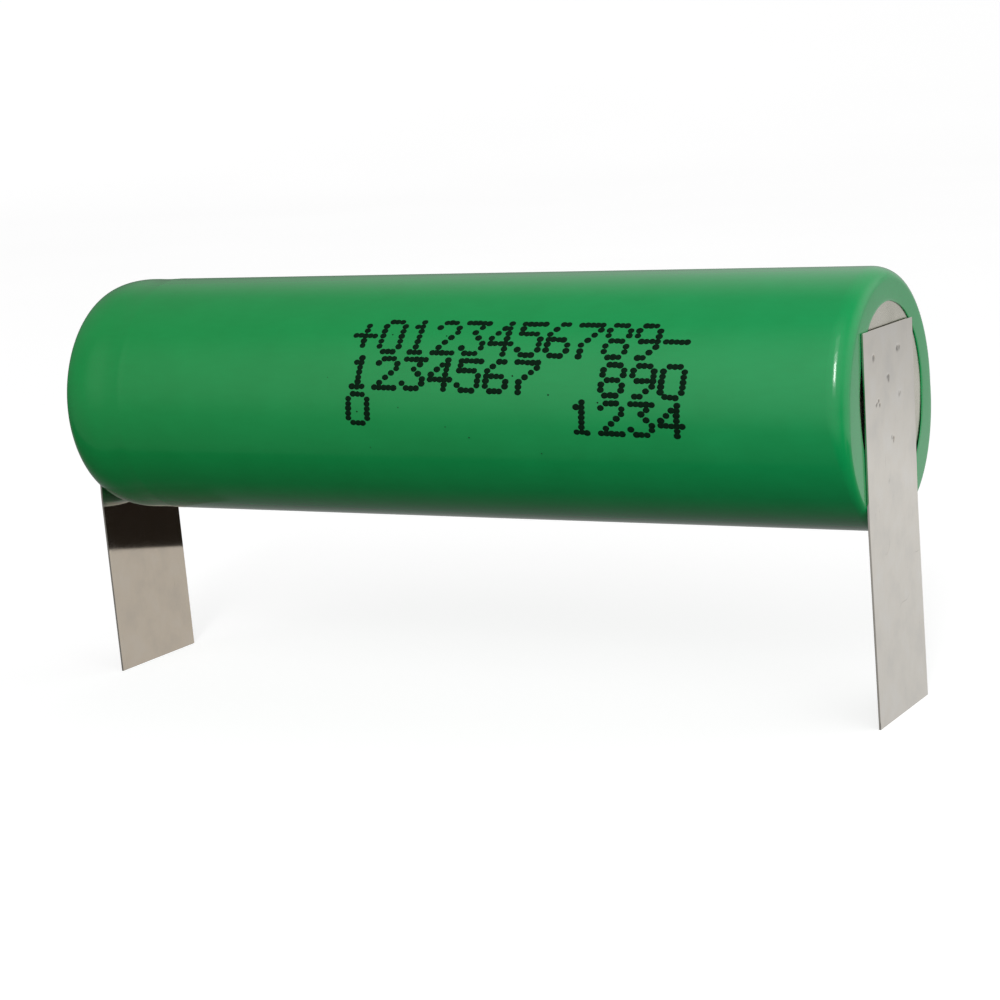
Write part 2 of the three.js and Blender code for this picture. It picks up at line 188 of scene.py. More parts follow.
def nickel_material():
    """Cold-rolled nickel strip: fine lines along it, faint stains, scratches, and burnt weld spots."""
    made = Shader("rolled_nickel", Metallic=1.0)
    flat = made.place(uv=True)
    lines = made.noise(made.place((7, 0.25, 1), uv=True), 2.2, 5.0)
    stains = made.noise(flat, 0.35, 3.0)
    metal = made.ramp(stains, (0.60, 0.575, 0.53), (0.655, 0.62, 0.56), (0.67, 0.645, 0.60))
    metal = made.tint(made.spread(lines, 0.0, 0.10), (0.47, 0.44, 0.40), metal)
    hairs = made.spread(made.noise(made.place((3.5, 0.22, 1), uv=True), 1.1, 8.0), 0.0, 1.0, 0.70, 0.76)
    metal = made.tint(made.math("MULTIPLY", hairs, 0.35), (0.32, 0.29, 0.26), metal)
    weld = made.node("Attribute", attribute_name="weld").outputs["Fac"]
    metal = made.tint(weld, (0.17, 0.16, 0.145), metal)
    made.feed("Base Color", metal)
    rough = made.spread(lines, 0.035, 0.07)
    made.feed("Roughness", made.math("ADD", rough, made.math("MULTIPLY", weld, 0.3)))
    made.bump(lines, 0.0002 * MM)
    return made.material


def plated_steel_material():
    """Nickel-plated deep-drawn steel: satin, with faint cloudy stains."""
    made = Shader("plated_steel", Metallic=1.0)
    where = made.place()
    clouds = made.noise(where, 420, 4.0)
    grain = made.noise(where, 9000, 2.0)
    made.feed("Base Color", made.ramp(clouds, (0.53, 0.515, 0.44), (0.60, 0.58, 0.50), (0.62, 0.60, 0.53)))
    made.feed("Roughness", made.spread(grain, 0.20, 0.30))
    made.bump(grain, 0.0008 * MM)
    return made.material


def ink_material():
    """Black ink-jet ink, dry and a little matt."""
    made = Shader("black_ink", IOR=1.33, Specular_IOR_Level=0.15)
    where = made.place()
    thickness = made.noise(where, 5000, 3.0)
    made.feed("Base Color", made.ramp(thickness, (0.0006, 0.009, 0.003), (0.0012, 0.018, 0.006)))
    made.feed("Roughness", made.spread(thickness, 0.5, 0.7))
    made.bump(thickness, 0.002 * MM)
    return made.material


GREEN_FILM = sleeve_material()
NICKEL = nickel_material()
STEEL = plated_steel_material()
INK = ink_material()
ALUMINIUM = mottled("aluminium", (0.70, 0.70, 0.71), (0.82, 0.82, 0.83), cell=0.6 * MM,
                    rough=(0.2, 0.32), depth=0.002 * MM, stretch=(0.3, 1, 1), Metallic=1.0)
PAPER = mottled("insulating_paper", (0.62, 0.60, 0.54), (0.78, 0.76, 0.70), cell=0.5 * MM,
                rough=(0.7, 0.9), depth=0.012 * MM)
GASKET = mottled("gasket_plastic", (0.42, 0.42, 0.40), (0.52, 0.52, 0.50), cell=0.8 * MM,
                 rough=(0.35, 0.5), depth=0.002 * MM)
RING_PLASTIC = mottled("ring_plastic", (0.02, 0.02, 0.022), (0.035, 0.035, 0.038), cell=0.8 * MM,
                       rough=(0.4, 0.55), depth=0.002 * MM)
SEPARATOR = mottled("separator_film", (0.70, 0.71, 0.72), (0.82, 0.83, 0.84), cell=1.2 * MM,
                    rough=(0.4, 0.55), depth=0.001 * MM, stretch=(1, 1, 0.2))
ANODE = mottled("graphite_on_copper", (0.016, 0.016, 0.018), (0.035, 0.034, 0.034), cell=0.4 * MM,
                rough=(0.75, 0.9), depth=0.006 * MM)
CATHODE = mottled("oxide_on_aluminium", (0.012, 0.012, 0.014), (0.026, 0.027, 0.03), cell=0.4 * MM,
                  rough=(0.6, 0.8), depth=0.005 * MM)
BLUE_TAPE = mottled("blue_tape", (0.012, 0.10, 0.34), (0.02, 0.14, 0.44), cell=1.5 * MM,
                    rough=(0.2, 0.35), depth=0.002 * MM)
AMBER_TAPE = mottled("amber_tape", (0.42, 0.17, 0.02), (0.55, 0.25, 0.04), cell=1.5 * MM,
                     rough=(0.2, 0.35), depth=0.002 * MM)

CAD_FINISHES = {
    "steel_can": STEEL,
    "positive_washer": PAPER,
    "crimp_gasket": GASKET,
    "top_cap": STEEL,
    "vent_disc": ALUMINIUM,
    "interrupt_ring": RING_PLASTIC,
    "interrupt_plate": ALUMINIUM,
    "cathode_lead": ALUMINIUM,
    "cathode_lead_tape": AMBER_TAPE,
    "anode_lead": NICKEL,
    "top_insulator": PAPER,
    "bottom_insulator": PAPER,
    "inner_separator": SEPARATOR,
    "outer_separator": SEPARATOR,
    "anode_sheet": ANODE,
    "cathode_sheet": CATHODE,
    "roll_tape": BLUE_TAPE,
    "centre_pin": STEEL,
}


def finish_cad_nodes():
    """Gives each carried-over CAD node its material, and smooth shading between its sharp edges."""
    for name, material in CAD_FINISHES.items():
        mesh = frame["nodes"][name].data
        mesh.materials.clear()
        mesh.materials.append(material)
        mesh.polygons.foreach_set("use_smooth", [True] * len(mesh.polygons))
        mesh.set_sharp_from_angle(angle=SHARP_CAD_EDGE)


# ---------------------------------------------------------------- mesh helpers
def piece(name, vertices, faces, material, body=None, replaced=()):
    """A smooth-shaded closed mesh with its faces pointing out, which may ride on a body."""
    mesh = bpy.data.meshes.new(name)
    mesh.from_pydata([tuple(v) for v in vertices], [], faces)
    edit = bmesh.new()
    edit.from_mesh(mesh)
    bmesh.ops.recalc_face_normals(edit, faces=edit.faces)
    edit.to_mesh(mesh)
    edit.free()
    mesh.polygons.foreach_set("use_smooth", [True] * len(mesh.polygons))
    mesh.set_sharp_from_angle(angle=SHARP_EDGE)
    mesh.materials.append(material)
    made = bpy.data.objects.new(name, mesh)
    bpy.context.scene.collection.objects.link(made)
    if body:
        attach(made, body)
    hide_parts(*replaced)
    return made


def lattice_faces(rows, columns, wrap_rows=False):
    """Faces of a grid of points whose columns close on themselves, and whose rows may too."""
    faces = []
    for i in range(rows if wrap_rows else rows - 1):
        here, ahead = i * columns, (i + 1) % rows * columns
        for j in range(columns):
            across = (j + 1) % columns
            faces.append((here + j, here + across, ahead + across, ahead + j))
    return faces


def on_axis(x, radius, angle):
    """The point at that radius from the cell's axis, at an angle above the horizontal on the -Y side."""
    return x, -radius * math.cos(angle), AXIS_Z + radius * math.sin(angle)


def revolve(profile, sides, reshape=None):
    """Vertices and faces of a closed profile of (x, radius) points turned about the cell's axis.

    Reshape, if it's given, moves a point of the profile at an angle: (x, radius, angle) to (x, radius)."""
    vertices = []
    for x, radius in profile:
        for k in range(sides):
            angle = 2 * math.pi * k / sides
            settled = reshape(x, radius, angle) if reshape else (x, radius)
            vertices.append(on_axis(*settled, angle))
    return vertices, lattice_faces(len(profile), sides, wrap_rows=True)


def rounded_section(x0, x1, r0, r1, bevel, steps=3):
    """A rectangle of (x, radius) points with its corners rounded."""
    corners = ((x1 - bevel, r1 - bevel, 0), (x0 + bevel, r1 - bevel, 1),
               (x0 + bevel, r0 + bevel, 2), (x1 - bevel, r0 + bevel, 3))
    points = []
    for x, r, quarter in corners:
        for k in range(steps + 1):
            angle = math.pi / 2 * (quarter + k / steps)
            points.append((x + bevel * math.cos(angle), r + bevel * math.sin(angle)))
    return points


# ---------------------------------------------------------------- heat-shrink sleeve
SLEEVE_WALL = 0.1 * MM
SLEEVE_SIDES = 192
BODY_STEPS = 30
RIM_STEPS = 8
SHOULDER_STEPS = 24
# Each shoulder's length along the cell, and its depth in from the body of the sleeve
POSITIVE_SHOULDER = (2.8 * MM, 0.95 * MM)
NEGATIVE_SHOULDER = (1.4 * MM, 0.95 * MM)
# How much smaller the negative shoulder is where it shrank tightest, as a share of its size
TIGHTER = 0.56
POSITIVE_LIP_RADIUS = 6.4 * MM
NEGATIVE_LIP_RADIUS = 6.7 * MM
# How far the flat rim sinks in by the time it reaches its lip
RIM_DISH = 0.035 * MM
# The lips: small waves, an oval, how much further the -Y side reaches in, and how far that goes up the rim
LIP_WAVE = 0.035 * MM
LIP_OVAL = 0.13 * MM
LIP_FRONT = 0.38 * MM
LIP_FADE = 1.2 * MM
# Waves round a lip: how many, their share of LIP_WAVE, and their phase in units of the lip's own
LIP_WAVES = ((2, 1.0, 1), (5, 0.6, 2), (13, 0.35, 0))
POSITIVE_LIP_PHASE = 2.1
NEGATIVE_LIP_PHASE = 0.7
# How far along from each end of the sleeve its lip's waves reach
LIP_LENGTH = 1.0 * MM
# The can's bead shows through as a dip and then a fine ridge. Stations are distances from the positive lip
BEAD_STATION = 4.2 * MM
BEAD_DIP = 0.03 * MM
BEAD_HALF_WIDTH = 0.9 * MM
BEAD_EDGE_STATION = 5.55 * MM
BEAD_EDGE_HEIGHT = 0.012 * MM
BEAD_EDGE_HALF_WIDTH = 0.3 * MM
BEAD_END = 7.4 * MM
BEAD_STEPS = 36


def hump(x, station, half_width):
    """A smooth hump that is 1 high at its station."""
    return math.exp(-((x - POSITIVE_LIP - station) / half_width) ** 2)


def sleeve_skin():
    """The middle of the film from lip to lip, as (x, radius) points: rim, shoulder, body, shoulder, rim."""
    half = SLEEVE_WALL / 2
    radius = RADIUS - half
    points = []

    def rim(lip_x, lip_radius, shoulder, sign):
        long, deep = shoulder
        flat = radius - deep
        for k in range(RIM_STEPS):
            sunk = RIM_DISH * (1 - k / RIM_STEPS) ** 2
            points.append((lip_x - sign * (half + sunk), lip_radius + (flat - lip_radius) * k / RIM_STEPS))
        for k in range(SHOULDER_STEPS + 1):
            turn = math.pi / 2 * k / SHOULDER_STEPS
            inwards = half + long * (1 - math.cos(turn))
            points.append((lip_x - sign * inwards, flat + deep * math.sin(turn)))

    rim(NEGATIVE_LIP, NEGATIVE_LIP_RADIUS, NEGATIVE_SHOULDER, 1)
    start = points[-1][0]
    end = POSITIVE_LIP + half + POSITIVE_SHOULDER[0]
    bead_end = POSITIVE_LIP + BEAD_END
    points += [(x, radius) for x in np.linspace(start, bead_end, BODY_STEPS)[1:]]
    points += [(x, radius) for x in np.linspace(bead_end, end, BEAD_STEPS)[1:-1]]
    split = len(points)
    rim(POSITIVE_LIP, POSITIVE_LIP_RADIUS, POSITIVE_SHOULDER, -1)
    points[split:] = reversed(points[split:])
    settled = []
    for x, r in points:
        dip = BEAD_DIP * hump(x, BEAD_STATION, BEAD_HALF_WIDTH)
        ridge = BEAD_EDGE_HEIGHT * hump(x, BEAD_EDGE_STATION, BEAD_EDGE_HALF_WIDTH)
        settled.append((x, r - dip + ridge))
    return settled


def thicken(line, wall):
    """A closed outline round a line of points: one side, a round end, the other side and its round end."""
    points = np.array(line)
    along = np.gradient(points, axis=0)
    along /= np.linalg.norm(along, axis=1)[:, None]
    across = np.stack([-along[:, 1], along[:, 0]], axis=1) * wall / 2

    def end(centre, side, forward):
        steps = 6
        turns = [math.pi * k / steps for k in range(1, steps)]
        return [tuple(centre + side * math.cos(t) + forward * wall / 2 * math.sin(t)) for t in turns]

    outline = [tuple(p) for p in points + across]
    outline += end(points[-1], across[-1], along[-1])
    outline += [tuple(p) for p in (points - across)[::-1]]
    outline += end(points[0], -across[0], -along[0])
    return outline


def lip_wobble(x, radius, angle):
    """How far a shrunk lip is from round: it is an oval that wanders in and out, fading up the rim."""
    if x > 0:
        lip, phase = NEGATIVE_LIP_RADIUS, NEGATIVE_LIP_PHASE
    else:
        lip, phase = POSITIVE_LIP_RADIUS, POSITIVE_LIP_PHASE
    if NEGATIVE_LIP - abs(x) > LIP_LENGTH:
        return 0.0
    fade = max(0.0, 1 - (radius - lip) / LIP_FADE)
    wave = sum(share * math.sin(count * angle + turns * phase) for count, share, turns in LIP_WAVES)
    front = LIP_FRONT * max(0.0, math.cos(angle)) ** 4
    return fade * (LIP_WAVE * wave - LIP_OVAL * math.cos(2 * angle) - front)


def shrunk(x, radius, angle):
    """Where a point of the film comes to rest: the negative shoulder is tighter low down on both sides."""
    long, deep = NEGATIVE_SHOULDER
    wander = lip_wobble(x, radius, angle)
    if x > NEGATIVE_LIP - long - SLEEVE_WALL:
        # 1 halfway down on either side, and 0 at the bottom and from mid-height up
        low_side = max(0.0, -math.sin(angle)) * abs(math.cos(angle)) * 2
        loose = 1 - TIGHTER * low_side
        flat = RADIUS - deep
        if radius > flat:
            radius = RADIUS - (RADIUS - radius) * loose
        else:
            up_the_rim = max(0.0, (radius - NEGATIVE_LIP_RADIUS) / (flat - NEGATIVE_LIP_RADIUS))
            radius += deep * (1 - loose) * up_the_rim
        x = NEGATIVE_LIP - (NEGATIVE_LIP - x) * loose
    return x, radius + wander


def build_sleeve():
    vertices, faces = revolve(thicken(sleeve_skin(), SLEEVE_WALL), SLEEVE_SIDES, shrunk)
    piece("shrink_sleeve", vertices, faces, GREEN_FILM, "cell", ["heat_shrink_sleeve"])


# ---------------------------------------------------------------- ink-jet print
# Polarity signs and counting digits, each as seven rows of five dots from the top down
DOT_FONT = {
    "0": "01110 10001 10001 10001 10001 10001 01110",
    "1": "00100 01100 00100 00100 00100 00100 01110",
    "2": "01110 10001 00001 00010 00100 01000 11111",
    "3": "11111 00010 00100 00010 00001 10001 01110",
    "4": "00010 00110 01010 10010 11111 00010 00010",
    "5": "11111 10000 11110 00001 00001 10001 01110",
    "6": "00110 01000 10000 11110 10001 10001 01110",
    "7": "11111 00001 00010 00100 01000 01000 01000",
    "8": "01110 10001 10001 01110 10001 10001 01110",
    "9": "01110 10001 10001 01111 00001 00010 01100",
    "+": "00000 00100 00100 11111 00100 00100 00000",
    "-": "00000 00000 00000 11111 00000 00000 00000",
}
FONT_ROWS = 7
PRINT_ROWS = ("+0123456789-", "1234567  890", "0       1234")
# Heights are measured round the sleeve's surface, up from the cell's -Y side
PRINT_START = -6.05 * MM
PRINT_BASELINE = 4.62 * MM
ROW_PITCH = 2.68 * MM
ROW_SLOPE = -0.025
CHARACTER_PITCH = 2.28 * MM
DOT_PITCH = 0.40 * MM
# Each printed row's spacing of dots up a character, and its lean
DOT_RISE = (0.41 * MM, 0.355 * MM, 0.355 * MM)
ROW_LEAN = (0.09, 0.12, 0.04)
DOT_RADIUS = 0.224 * MM
DOT_STRETCH = 1.25
DOT_SIDES = 12
INK_HEIGHT = 0.012 * MM
# Rings of a dot's dome from its foot up, as shares of its radius and of INK_HEIGHT
DOME = ((1.0, -0.25), (0.93, 0.6), (0.6, 1.0))
# The printer's errors: spread of a dot's place along and up, and its least and greatest size
DOT_SCATTER = (0.014 * MM, 0.012 * MM)
DOT_SIZES = (0.92, 1.08)
# Stray specks of ink: how many, and in millimetres their least and greatest x, height and radius
SPECKS = 14
SPECK_X = (-8, 22)
SPECK_HEIGHT = (-3, 8)
SPECK_RADIUS = (0.03, 0.06)
PRINT_SEED = 18


def ink_dots():
    """Each dot as (x, height, radius), with a printer's small errors, and then the stray specks."""
    rng = random.Random(PRINT_SEED)
    dots = []
    for row, text in enumerate(PRINT_ROWS):
        for column, character in enumerate(text):
            if character == " ":
                continue
            for line, pattern in enumerate(DOT_FONT[character].split()):
                for place, mark in enumerate(pattern):
                    if mark == "0":
                        continue
                    rise = (FONT_ROWS - 1 - line) * DOT_RISE[row]
                    x = PRINT_START + column * CHARACTER_PITCH + place * DOT_PITCH + rise * ROW_LEAN[row]
                    height = PRINT_BASELINE - row * ROW_PITCH + rise + (x - PRINT_START) * ROW_SLOPE
                    dots.append((x + rng.gauss(0, DOT_SCATTER[0]), height + rng.gauss(0, DOT_SCATTER[1]),
                                 DOT_RADIUS * rng.uniform(*DOT_SIZES)))
    for _ in range(SPECKS):
        dots.append(tuple(rng.uniform(*span) * MM for span in (SPECK_X, SPECK_HEIGHT, SPECK_RADIUS)))
    return dots


def build_print():
    """Each dot is a low dome of ink, wider along the cell than across, whose foot sinks into the film."""
    vertices, faces = [], []
    for x, height, radius in ink_dots():
        base = len(vertices)

        def at(reach, turn, lift):
            angle = (height + reach * math.sin(turn)) / RADIUS
            return on_axis(x + DOT_STRETCH * reach * math.cos(turn), RADIUS + lift * INK_HEIGHT, angle)

        vertices.append(at(0, 0, DOME[0][1]))
        for reach, lift in DOME:
            for k in range(DOT_SIDES):
                vertices.append(at(reach * radius, 2 * math.pi * k / DOT_SIDES, lift))
        crown = len(vertices)
        vertices.append(at(0, 0, DOME[-1][1]))
        rings = [range(start, start + DOT_SIDES) for start in range(base + 1, crown, DOT_SIDES)]
        for k in range(DOT_SIDES):
            after = (k + 1) % DOT_SIDES
            faces.append((base, rings[0][after], rings[0][k]))
            for low, high in zip(rings, rings[1:]):
                faces.append((low[k], low[after], high[after], high[k]))
            faces.append((rings[-1][k], rings[-1][after], crown))
    piece("ink_print", vertices, faces, INK, "cell")


# ---------------------------------------------------------------- nickel tabs
# Middle of each weld in millimetres across the strip and up from z = 0, and how strong its mark is
WELDS = ((1.8, 25.6, 0.9), (-3.2, 25.4, 0.8), (-0.4, 23.6, 0.8), (1.75, 22.4, 0.5), (-2.6, 22.2, 1.0),
         (0.2, 19.4, 0.6), (-1.1, 16.6, 0.3))
PITS_PER_WELD = 4
PIT_DEPTH = 0.03 * MM
PIT_RADIUS = 0.175 * MM
# Each pit's least and greatest radius and strength as shares, and their spread in millimetres across and up
PIT_SIZES = (0.5, 1.1)
PIT_STRENGTHS = (0.6, 1.0)
PIT_SPREAD = (0.17, 0.09)
# Scratches on the outer face, as points in millimetres across the strip and up from z = 0
SCRATCHES = (((-2.35, 11.75), (-1.95, 11.7), (-1.45, 12.0), (-1.2, 12.7)),
             ((-0.2, 7.35), (0.5, 7.75), (1.5, 7.75), (2.3, 8.0)),
             ((3.4, 10.75), (4.2, 10.65), (4.85, 10.7)),
             ((-3.8, 14.9), (-3.75, 14.2)),
             ((-3.1, 15.4), (-2.95, 14.5)))
SCRATCH_WIDTH = 0.05 * MM
SCRATCH_HEIGHT = 0.005 * MM
SCRATCH_TAPER = 0.3
# How dark a scratch is, on the scale of the weld marks
SCRATCH_BURN = 0.55
EDGE_BREAK = 0.02 * MM
# The strip's mesh is fine within these distances of each weld, and of the fold, and coarse elsewhere
FINE_STEP = 0.08 * MM
COARSE_STEP = 0.6 * MM
FINE_ACROSS = 0.65 * MM
FINE_UP = 0.45 * MM
# The lean starts this far above the fold line
LEAN_START = 1.6 * MM


def graded(low, high, centres, reach):
    """Places from low to high, close together within reach of a centre and further apart elsewhere."""
    places = [low]
    while places[-1] < high:
        here = places[-1]
        near = any(abs(here - c) < reach for c in centres)
        ahead = min([c - reach - here for c in centres if c - reach > here], default=COARSE_STEP)
        places.append(here + (FINE_STEP if near else min(COARSE_STEP, max(ahead, FINE_STEP))))
    return places[:-1] + [high]


def weld_pits(seed):
    """Each weld is a small huddle of burnt pits: (across, height, radius, strength)."""
    rng = random.Random(seed)
    pits = []
    for across, height, strength in WELDS:
        for _ in range(PITS_PER_WELD):
            place = [(middle + rng.gauss(0, spread)) * MM
                     for middle, spread in zip((across, height), PIT_SPREAD)]
            radius = PIT_RADIUS * rng.uniform(*PIT_SIZES)
            pits.append((*place, radius, strength * rng.uniform(*PIT_STRENGTHS)))
    return pits


def weld_mark(across, height, pits):
    """How burnt the strip is at a point, from 0 to 1, which is also how far it is pressed in."""
    burn = 0.0
    for pit_across, pit_height, radius, strength in pits:
        reach = math.hypot(across - pit_across, height - pit_height) / radius
        burn = max(burn, strength * math.exp(-reach ** 4))
    return burn


class Strip:
    """One solder tab: its middle line leans towards the foot below the cell, and end is +1 or -1."""

    def __init__(self, pad, leg, end, seed):
        pad_low, pad_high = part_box(pad)
        self.end, self.top = end, pad_high.z
        self.thickness = pad_high.x - pad_low.x
        self.middle_x = (pad_high.x + pad_low.x) / 2
        self.middle_y = (pad_high.y + pad_low.y) / 2
        self.half_width = (pad_high.y - pad_low.y) / 2
        # Both legs lean towards +X, so the foot is the leg's furthest part that way
        self.foot_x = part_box(leg)[1].x - self.thickness / 2
        self.pits = weld_pits(seed)

    def point(self, across, through, height):
        """A point so far across the strip from its middle, outwards from its middle, and up."""
        lean = max(0.0, HINGE_Z + LEAN_START - height) / (HINGE_Z + LEAN_START)
        x = self.middle_x + (self.foot_x - self.middle_x) * lean + self.end * through
        return x, self.middle_y + across, height


def strip_mesh(strip):
    """The strip with broken edges and pitted welds: vertices, faces and how burnt each vertex is."""
    wide = strip.half_width
    columns = graded(EDGE_BREAK - wide, wide - EDGE_BREAK, [w[0] * MM for w in WELDS], FINE_ACROSS)
    rows = graded(0.0, strip.top, [w[1] * MM for w in WELDS] + [HINGE_Z], FINE_UP)
    rows = [0.0, EDGE_BREAK] + [z for z in rows if EDGE_BREAK < z < strip.top - EDGE_BREAK]
    rows += [strip.top - EDGE_BREAK, strip.top]
    vertices, burns = [], []
    for z in rows:
        inset = EDGE_BREAK if z in (rows[0], rows[-1]) else 0.0
        half, side, chamfer = strip.thickness / 2 - inset, wide - inset, strip.thickness / 2 - EDGE_BREAK
        section = [(y, half) for y in columns] + [(side, chamfer), (side, -chamfer)]
        section += [(y, -half) for y in reversed(columns)] + [(-side, -chamfer), (-side, chamfer)]
        for across, through in section:
            burn = weld_mark(across, z, strip.pits) if abs(across) < side else 0.0
            vertices.append(strip.point(across, through - burn * PIT_DEPTH, z))
            burns.append(burn if through > 0 else 0.0)
    count = 2 * len(columns) + 4
    faces = lattice_faces(len(rows), count)
    for first in (0, (len(rows) - 1) * count):
        for j in range(len(columns) - 1):
            opposite = 2 * len(columns) + 1 - j
            faces.append((first + j, first + j + 1, first + opposite - 1, first + opposite))
        last = first + len(columns) - 1
        faces.append((last, last + 1, last + 2, last + 3))
        faces.append((first, first + count - 1, first + count - 2, first + count - 3))
    return vertices, faces, burns


def scratch_mesh(strip, points, first):
    """A scratch's burr: a fine three-sided ridge along its line. Its vertices are numbered from first."""
    vertices = []
    outer = strip.thickness / 2
    line = np.array(points) * MM
    along = np.gradient(line, axis=0)
    along /= np.linalg.norm(along, axis=1)[:, None]
    for k, ((across, height), (step_across, step_height)) in enumerate(zip(line, along)):
        taper = SCRATCH_TAPER if k in (0, len(line) - 1) else 1.0
        half = SCRATCH_WIDTH / 2 * taper
        ridge = ((-half, -SCRATCH_HEIGHT), (0.0, SCRATCH_HEIGHT * taper), (half, -SCRATCH_HEIGHT))
        for aside, lift in ridge:
            place = across + step_height * aside, height - step_across * aside
            vertices.append(strip.point(place[0], outer + lift, place[1]))
    faces = [tuple(v + first for v in face) for face in lattice_faces(len(line), 3)]
    faces += [(first, first + 1, first + 2), tuple(first + len(vertices) - 1 - k for k in range(3))]
    return vertices, faces


def build_tab(name, pad, leg, end, seed):
    """One strip from its welded pad to its free end, leaning towards its foot from just above the fold line.
    """
    strip = Strip(pad, leg, end, seed)
    vertices, faces, burns = strip_mesh(strip)
    for points in SCRATCHES:
        more_vertices, more_faces = scratch_mesh(strip, points, len(vertices))
        vertices += more_vertices
        faces += more_faces
        burns += [SCRATCH_BURN] * len(more_vertices)
    made = piece(name, vertices, faces, NICKEL, replaced=[pad, leg])
    made.data.attributes.new("weld", "FLOAT", "POINT").data.foreach_set("value", burns)
    uv = made.data.uv_layers.new(name="strip")
    for loop in made.data.loops:
        _, y, z = vertices[loop.vertex_index]
        uv.data[loop.index].uv = (y / MM, z / MM)
    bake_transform(made)


# ---------------------------------------------------------------- positive end
WASHER_SIDES = 144
WASHER_BEVEL = 0.03 * MM


def radial_range(node):
    """Least and greatest distance of a CAD node's points from the cell's axis."""
    reach = [math.hypot(v.co.y, v.co.z - AXIS_Z) for v in frame["nodes"][node].data.vertices]
    return min(reach), max(reach)


def build_washer():
    """The paper washer on the crimped rim, with its punched edges a little soft."""
    low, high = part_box("positive_washer")
    inner, outer = radial_range("positive_washer")
    section = rounded_section(low.x, high.x, inner, outer, WASHER_BEVEL)
    vertices, faces = revolve(section, WASHER_SIDES)
    piece("paper_washer", vertices, faces, PAPER, "cell", ["positive_washer"])


# ---------------------------------------------------------------- stage, lights and camera
OBJECT_CENTRE = Vector((0, 0, AXIS_Z))
CAMERA_PLACE = Vector((90.19, -162.42, 45.86)) * MM
CAMERA_YAW, CAMERA_PITCH, CAMERA_ROLL = (math.radians(a) for a in (-28.731, -9.720, -3.524))
CAMERA_LENS = 89.49


def direction(azimuth, elevation):
    """A unit vector: azimuth 0 is towards -Y and 90 towards +X, both in degrees."""
    a, e = math.radians(azimuth), math.radians(elevation)
    return Vector((math.sin(a) * math.cos(e), -math.cos(a) * math.cos(e), math.sin(e)))


def show_only_to(obj, **rays):
    """Lets only the kinds of ray that are named meet a stage piece."""
    for kind in ("camera", "diffuse", "glossy", "transmission", "volume_scatter", "shadow"):
        setattr(obj, "visible_" + kind, rays.get(kind, False))


def softbox(name, azimuth, elevation, distance, width, height, brightness):
    """A rectangular light that faces the cell, unseen by cameras. Brightness 1 is that of a white card."""
    data = bpy.data.lights.new(name, "AREA")
    data.shape = "RECTANGLE"
    data.size, data.size_y = width, height
    data.energy = brightness * math.pi * width * height
    light = bpy.data.objects.new(name, data)
    light.location = OBJECT_CENTRE + distance * direction(azimuth, elevation)
    light.rotation_mode = "QUATERNION"
    light.rotation_quaternion = (OBJECT_CENTRE - light.location).to_track_quat("-Z", "Y")
    light.visible_camera = False
    bpy.context.scene.collection.objects.link(light)
    return light


def stage_mesh(name, vertices, faces, material):
    mesh = bpy.data.meshes.new(name)
    mesh.from_pydata(vertices, [], faces)
    mesh.polygons.foreach_set("use_smooth", [True] * len(mesh.polygons))
    mesh.materials.append(material)
    made = bpy.data.objects.new(name, mesh)
    bpy.context.scene.collection.objects.link(made)
    return made


def build_floor():
    """A pale round floor that sweeps up into a wall all round. Only cameras see it, so it lights nothing."""
    flat, sweep, wall, sides, steps = 0.8, 0.4, 1.3, 96, 12
    profile = [(0.001, 0.0), (0.2, 0.0), (flat, 0.0)]
    for k in range(1, steps + 1):
        turn = math.pi / 2 * k / steps
        profile.append((flat + sweep * math.sin(turn), sweep * (1 - math.cos(turn))))
    profile.append((flat + sweep, wall))
    vertices = []
    for radius, z in profile:
        for k in range(sides):
            turn = 2 * math.pi * k / sides
            vertices.append((radius * math.cos(turn), radius * math.sin(turn), z))
    faces = lattice_faces(len(profile), sides) + [tuple(reversed(range(sides)))]
    paint = Shader("pale_floor", Roughness=0.8, Specular_IOR_Level=0.1, Emission_Strength=0.66)
    tone = paint.noise(paint.place(), 9.0, 2.0)
    paint.feed("Base Color", paint.ramp(tone, (0.49, 0.49, 0.49), (0.51, 0.51, 0.51)))
    paint.surface.inputs["Emission Color"].default_value = (1, 1, 1, 1)
    floor = stage_mesh("floor", vertices, faces, paint.material)
    show_only_to(floor, camera=True)


CARD_Y = 0.3
NEAR_CARD_Y = 0.03
# Greys of the pale card from its ramp's foot up, and of the table top from below the cell into the distance.
# The table top's darkest grey, below the cell, is a painted shadow of the cell.
PALE_CARD_UPWARDS = (0.75, 0.79, 0.86, 0.62, 0.60, 0.60)
TABLE_AWAY = (0.06, 0.19, 0.26, 0.31, 0.36)


def reflected_card(name, corners, axis, ramp_span, *colours):
    """A card that only reflections see. Its colours run along one axis, evenly over ramp_span."""
    paint = Shader(name + "_paint", Base_Color=(0, 0, 0, 1), Specular_IOR_Level=0.0, Emission_Strength=1.0)
    place = paint.node("SeparateXYZ", links={"Vector": paint.place()}).outputs[axis]
    along = paint.spread(place, 0.0, 1.0, *ramp_span)
    paint.feed("Emission Color", paint.ramp(along, *colours, start=0.0, end=1.0))
    show_only_to(stage_mesh(name, corners, [(0, 1, 2, 3)], paint.material), glossy=True)


def upright_card(name, y, x_span, z_span, ramp_span, *colours):
    """A card standing behind the cell, with its colours running up it."""
    (left, right), (low, high) = x_span, z_span
    corners = [(left, y, low), (right, y, low), (right, y, high), (left, y, high)]
    reflected_card(name, corners, "Z", ramp_span, *colours)


